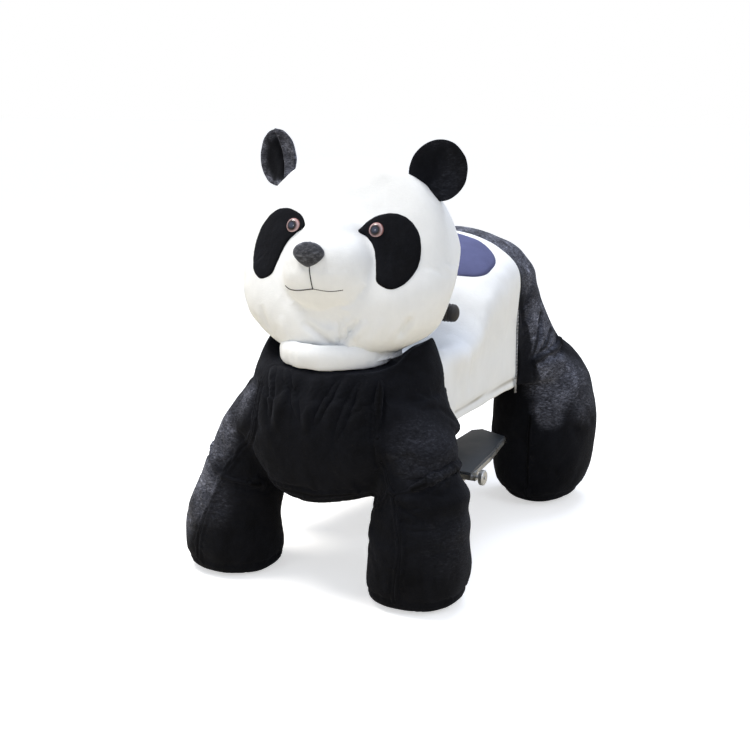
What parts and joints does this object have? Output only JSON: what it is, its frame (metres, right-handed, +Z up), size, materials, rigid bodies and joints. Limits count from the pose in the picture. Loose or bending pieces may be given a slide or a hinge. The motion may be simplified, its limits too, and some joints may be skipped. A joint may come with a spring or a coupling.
{
  "type": "plush electric ride-on panda",
  "caption": "Plush-covered battery ride-on panda on a steel frame, with a steering head and handlebar, swivelling front wheels, geared rear wheels and side footrests.",
  "frame": {"origin": "on the floor, in the middle of the toy's width and midway between its front and rear ends", "axes": "+Z up, -Y forwards (the way the toy faces), +X towards the toy's own left side"},
  "size_m": [0.6474, 0.9118, 0.8477],
  "materials": {
    "frame_steel": "black powder coat",
    "zinc_steel": "bright zinc plating",
    "plywood": "sanded birch plywood",
    "black_rubber": "moulded, matt",
    "wheel_urethane": "blue-violet urethane, satin",
    "white_nylon": "moulded nylon",
    "black_plastic": "moulded ABS",
    "battery_case": "moulded ABS case",
    "red_plastic": "moulded, glossy",
    "black_plush": "short-pile black plush over polyester stuffing",
    "white_plush": "short-pile white plush over polyester stuffing",
    "grey_plush": "short-pile grey-violet plush patch",
    "seat_foam": "open-cell foam pad",
    "zip_metal": "nickel-plated zinc",
    "eye_resin": "clear domed acrylic over a brown iris"
  },
  "bodies": {
    "chassis": {"battery": "battery_case", "chest_cover": "black_plush", "control_box": "black_plastic", "footrest_bar": "zinc_steel", "footrest_plate_left": "zinc_steel", "footrest_plate_right": "zinc_steel", "footrest_tread_left": "black_rubber", "footrest_tread_right": "black_rubber", "front_crossmember": "frame_steel", "front_leg_cover_left": "black_plush", "front_leg_cover_right": "black_plush", "gearbox_left": "black_plastic", "gearbox_right": "black_plastic", "head_tube": "frame_steel", "kingpin_tube_left": "frame_steel", "kingpin_tube_right": "frame_steel", "rear_crossmember": "frame_steel", "rear_leg_cover_left": "black_plush", "rear_leg_cover_right": "black_plush", "rear_post_left": "frame_steel", "rear_post_right": "frame_steel", "rump_cover": "black_plush", "seat_board": "plywood", "seat_foam": "seat_foam", "seat_patch": "grey_plush", "seat_post_front": "frame_steel", "seat_post_rear": "frame_steel", "spine_tube": "frame_steel", "switch_panel": "black_plastic", "tail": "white_plush", "torso_cover": "white_plush"},
    "steering": {"collar": "white_plush", "ear_left": "black_plush", "ear_right": "black_plush", "eye_left": "eye_resin", "eye_patch_left": "black_plush", "eye_patch_right": "black_plush", "eye_right": "eye_resin", "grip_left": "black_rubber", "grip_right": "black_rubber", "handlebar": "frame_steel", "head_cover": "white_plush", "nose": "black_plush", "steering_stem": "zinc_steel"},
    "throttle_button": {"throttle_button": "red_plastic"},
    "power_button": {"power_button": "red_plastic"},
    "tie_rod": {"tie_rod": "zinc_steel"},
    "zip_pull": {"zip_pull": "zip_metal"},
    "fork_left": {"fork_left": "zinc_steel"},
    "front_wheel_left": {"front_wheel_left": "wheel_urethane"},
    "rear_wheel_left": {"rear_wheel_left": "white_nylon", "rear_tyre_left": "wheel_urethane"},
    "drive_pinion_left": {"drive_pinion_left": "white_nylon"},
    "roller_left": {"roller_left": "zinc_steel"},
    "fork_right": {"fork_right": "zinc_steel"},
    "front_wheel_right": {"front_wheel_right": "wheel_urethane"},
    "rear_wheel_right": {"rear_wheel_right": "white_nylon", "rear_tyre_right": "wheel_urethane"},
    "drive_pinion_right": {"drive_pinion_right": "white_nylon"},
    "roller_right": {"roller_right": "zinc_steel"}
  },
  "joints": [
    {"name": "steering_turn", "type": "hinge", "parent": "chassis", "child": "steering", "pos_m": [0, -0.28, 0.325], "axis": [0, 0, 1], "range_deg": [-25, 25]},
    {"name": "fork_left_turn", "type": "hinge", "parent": "chassis", "child": "fork_left", "pos_m": [0.205, -0.36, 0.2], "axis": [0, 0, 1], "range_deg": [-25.5, 25.5]},
    {"name": "fork_right_turn", "type": "hinge", "parent": "chassis", "child": "fork_right", "pos_m": [-0.205, -0.36, 0.2], "axis": [0, 0, 1], "range_deg": [-25.5, 25.5]},
    {"name": "tie_rod_turn", "type": "hinge", "parent": "fork_left", "child": "tie_rod", "pos_m": [0.205, -0.318, 0.2515], "axis": [0, 0, 1], "range_deg": [-25.5, 25.5]},
    {"name": "throttle_press", "type": "slide", "parent": "steering", "child": "throttle_button", "axis": [0, -1, 0], "range_m": [0, 0.003], "stiffness_N_per_m": 300, "springref_m": -0.002},
    {"name": "power_press", "type": "slide", "parent": "chassis", "child": "power_button", "axis": [0, 0, 1], "range_m": [0, 0.004], "stiffness_N_per_m": 250, "springref_m": -0.002},
    {"name": "front_wheel_left_spin", "type": "hinge", "parent": "fork_left", "child": "front_wheel_left", "pos_m": [0.205, -0.36, 0.0625], "axis": [1, 0, 0], "continuous": true},
    {"name": "rear_wheel_left_spin", "type": "hinge", "parent": "chassis", "child": "rear_wheel_left", "pos_m": [0.21, 0.34, 0.07], "axis": [1, 0, 0], "continuous": true},
    {"name": "drive_pinion_left_spin", "type": "hinge", "parent": "chassis", "child": "drive_pinion_left", "pos_m": [0.187, 0.34, 0.1304], "axis": [1, 0, 0], "continuous": true},
    {"name": "roller_left_spin", "type": "hinge", "parent": "chassis", "child": "roller_left", "pos_m": [0.2455, -0.151, 0.183], "axis": [1, 0, 0], "continuous": true},
    {"name": "front_wheel_right_spin", "type": "hinge", "parent": "fork_right", "child": "front_wheel_right", "pos_m": [-0.205, -0.36, 0.0625], "axis": [1, 0, 0], "continuous": true},
    {"name": "rear_wheel_right_spin", "type": "hinge", "parent": "chassis", "child": "rear_wheel_right", "pos_m": [-0.21, 0.34, 0.07], "axis": [1, 0, 0], "continuous": true},
    {"name": "drive_pinion_right_spin", "type": "hinge", "parent": "chassis", "child": "drive_pinion_right", "pos_m": [-0.187, 0.34, 0.1304], "axis": [1, 0, 0], "continuous": true},
    {"name": "roller_right_spin", "type": "hinge", "parent": "chassis", "child": "roller_right", "pos_m": [-0.2455, -0.151, 0.183], "axis": [1, 0, 0], "continuous": true},
    {"name": "zip_pull_swing", "type": "hinge", "parent": "chassis", "child": "zip_pull", "pos_m": [0.2045, 0.13, 0.322], "axis": [0, -1, 0], "range_deg": [0, 80]}
  ],
  "couplings": [
    {"joint": "fork_left_turn", "follows": "steering_turn", "ratio": 1},
    {"joint": "fork_right_turn", "follows": "steering_turn", "ratio": 1},
    {"joint": "tie_rod_turn", "follows": "steering_turn", "ratio": -1},
    {"joint": "drive_pinion_left_spin", "follows": "rear_wheel_left_spin", "ratio": -3},
    {"joint": "drive_pinion_right_spin", "follows": "rear_wheel_right_spin", "ratio": -3}
  ]
}
